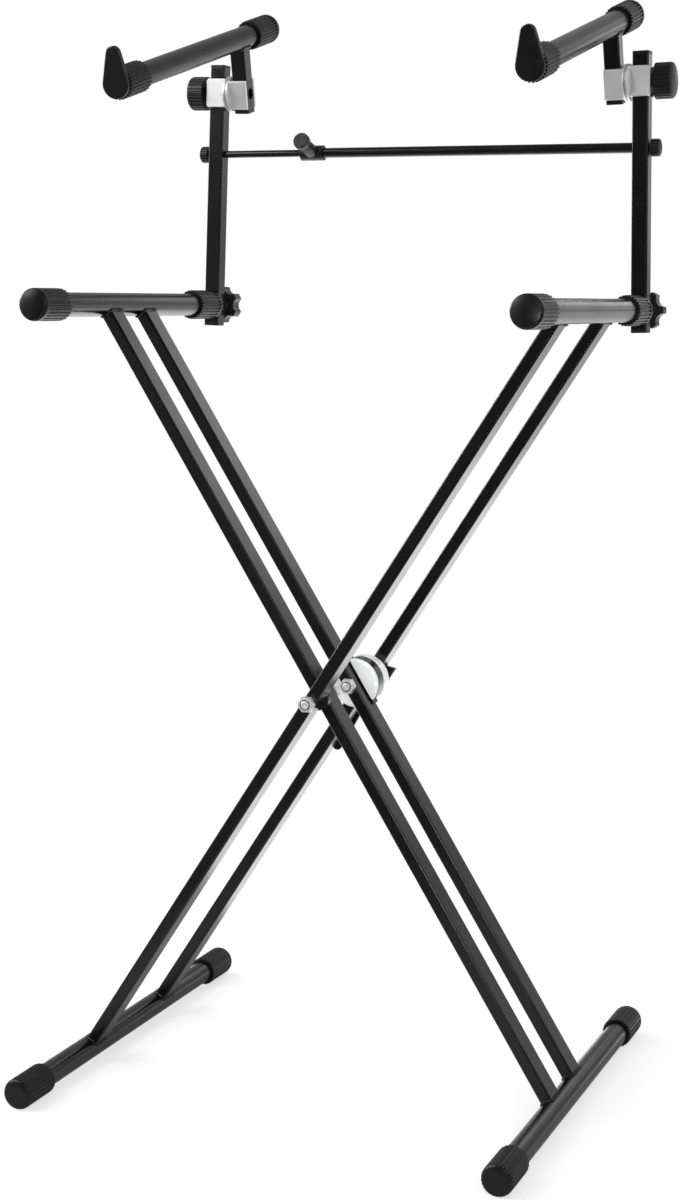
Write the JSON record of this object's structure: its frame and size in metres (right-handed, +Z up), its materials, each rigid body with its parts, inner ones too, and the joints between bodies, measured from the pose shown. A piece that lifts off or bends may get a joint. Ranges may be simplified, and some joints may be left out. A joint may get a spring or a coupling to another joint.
{
  "type": "keyboard stand",
  "caption": "Folding double-braced X keyboard stand in black tube with a toothed clutch at the crossing, ribbed rubber caps and a tilting clamp-on second tier joined by a telescopic bar.",
  "frame": {"origin": "on the floor under the middle of the stand's bounding box", "axes": "+Z up, +Y from the player to the back of the stand, +X to the player's right"},
  "size_m": [0.64, 0.5852, 1.3034],
  "materials": {
    "paint": "satin black powder coat",
    "cast": "bare fine-grained casting",
    "zinc": "bright zinc plate",
    "spring_steel": "oiled spring wire",
    "plastic": "moulded black",
    "rubber": "ribbed black"
  },
  "bodies": {
    "outer_legs": {"front_outer_leg": "paint", "rear_outer_leg": "paint", "right_arm": "paint", "right_arm_caps": "rubber", "right_arm_insert": "zinc", "left_foot": "paint", "left_foot_caps": "rubber", "front_pivot_spacer": "plastic", "clutch_outer_half": "cast", "clutch_spring": "spring_steel"},
    "inner_legs": {"front_inner_leg": "paint", "rear_inner_leg": "paint", "left_arm": "paint", "left_arm_caps": "rubber", "left_arm_insert": "zinc", "right_foot": "paint", "right_foot_caps": "rubber", "clutch_base": "paint", "clutch_inner_half": "cast", "front_pivot_bolt": "zinc", "clutch_bolt": "zinc", "pivot_nuts": "zinc"},
    "left_upright": {"left_upright": "paint", "left_upright_plugs": "plastic", "left_upright_saddle": "cast", "crossbar_rod": "paint"},
    "right_upright": {"right_upright": "paint", "right_upright_plugs": "plastic", "right_upright_saddle": "cast", "crossbar_tube": "paint", "crossbar_collar": "plastic", "crossbar_stud": "zinc"},
    "left_upper_arm": {"left_post_saddle": "cast", "left_post": "paint", "left_post_plug": "plastic", "left_upper_arm": "paint", "left_hook_cap": "rubber", "left_upper_cap": "rubber", "left_tilt_bolt": "zinc", "left_tilt_washer": "zinc"},
    "left_tilt_knob": {"left_tilt_knob": "plastic"},
    "left_star_knob": {"left_star_knob": "plastic", "left_star_stud": "zinc"},
    "left_bar_knob": {"left_bar_knob": "plastic"},
    "right_upper_arm": {"right_post_saddle": "cast", "right_post": "paint", "right_post_plug": "plastic", "right_upper_arm": "paint", "right_hook_cap": "rubber", "right_upper_cap": "rubber", "right_tilt_bolt": "zinc", "right_tilt_washer": "zinc"},
    "right_tilt_knob": {"right_tilt_knob": "plastic"},
    "right_star_knob": {"right_star_knob": "plastic", "right_star_stud": "zinc"},
    "right_bar_knob": {"right_bar_knob": "plastic"},
    "collar_screw": {"collar_screw": "plastic"},
    "release_lever": {"release_lever": "paint"}
  },
  "joints": [
    {"name": "fold", "type": "hinge", "parent": "outer_legs", "child": "inner_legs", "pos_m": [0, -0.02057, 0.47571], "axis": [0, 1, 0], "range_deg": [-23, 13]},
    {"name": "left_upright_swing", "type": "hinge", "parent": "inner_legs", "child": "left_upright", "pos_m": [-0.28731, 0.21843, 0.92583], "axis": [0, 1, 0], "range_deg": [-6.5, 11.5]},
    {"name": "right_upright_swing", "type": "hinge", "parent": "outer_legs", "child": "right_upright", "pos_m": [0.28731, 0.21843, 0.92583], "axis": [0, 1, 0], "range_deg": [-11.5, 6.5]},
    {"name": "left_arm_tilt", "type": "hinge", "parent": "left_upright", "child": "left_upper_arm", "pos_m": [-0.2803, 0.21843, 1.19724], "axis": [0.9997, 0, -0.0258], "range_deg": [-14, 30]},
    {"name": "left_tilt_knob_turn", "type": "hinge", "parent": "left_upper_arm", "child": "left_tilt_knob", "pos_m": [-0.2803, 0.21843, 1.19724], "axis": [0.9997, 0, -0.0258], "continuous": true},
    {"name": "left_star_knob_turn", "type": "hinge", "parent": "left_upright", "child": "left_star_knob", "pos_m": [-0.28731, 0.21843, 0.92583], "axis": [0, 1, 0], "continuous": true},
    {"name": "left_bar_knob_turn", "type": "hinge", "parent": "left_upright", "child": "left_bar_knob", "pos_m": [-0.272, 0.21843, 1.11976], "axis": [1, 0, 0], "continuous": true},
    {"name": "right_arm_tilt", "type": "hinge", "parent": "right_upright", "child": "right_upper_arm", "pos_m": [0.2803, 0.21843, 1.19724], "axis": [0.9997, 0, 0.0258], "range_deg": [-14, 30]},
    {"name": "right_tilt_knob_turn", "type": "hinge", "parent": "right_upper_arm", "child": "right_tilt_knob", "pos_m": [0.2803, 0.21843, 1.19724], "axis": [0.9997, 0, 0.0258], "continuous": true},
    {"name": "right_star_knob_turn", "type": "hinge", "parent": "right_upright", "child": "right_star_knob", "pos_m": [0.28731, 0.21843, 0.92583], "axis": [0, 1, 0], "continuous": true},
    {"name": "right_bar_knob_turn", "type": "hinge", "parent": "right_upright", "child": "right_bar_knob", "pos_m": [0.272, 0.21843, 1.11976], "axis": [1, 0, 0], "continuous": true},
    {"name": "collar_screw_turn", "type": "hinge", "parent": "right_upright", "child": "collar_screw", "pos_m": [-0.148, 0.21843, 1.11976], "axis": [0, -0.9511, 0.309], "continuous": true},
    {"name": "lever_swing", "type": "hinge", "parent": "outer_legs", "child": "release_lever", "pos_m": [0, -0.02057, 0.47571], "axis": [0, 1, 0], "range_deg": [-50, 10]}
  ],
  "couplings": [
    {"joint": "left_upright_swing", "follows": "fold", "ratio": -0.5},
    {"joint": "right_upright_swing", "follows": "fold", "ratio": 0.5}
  ]
}
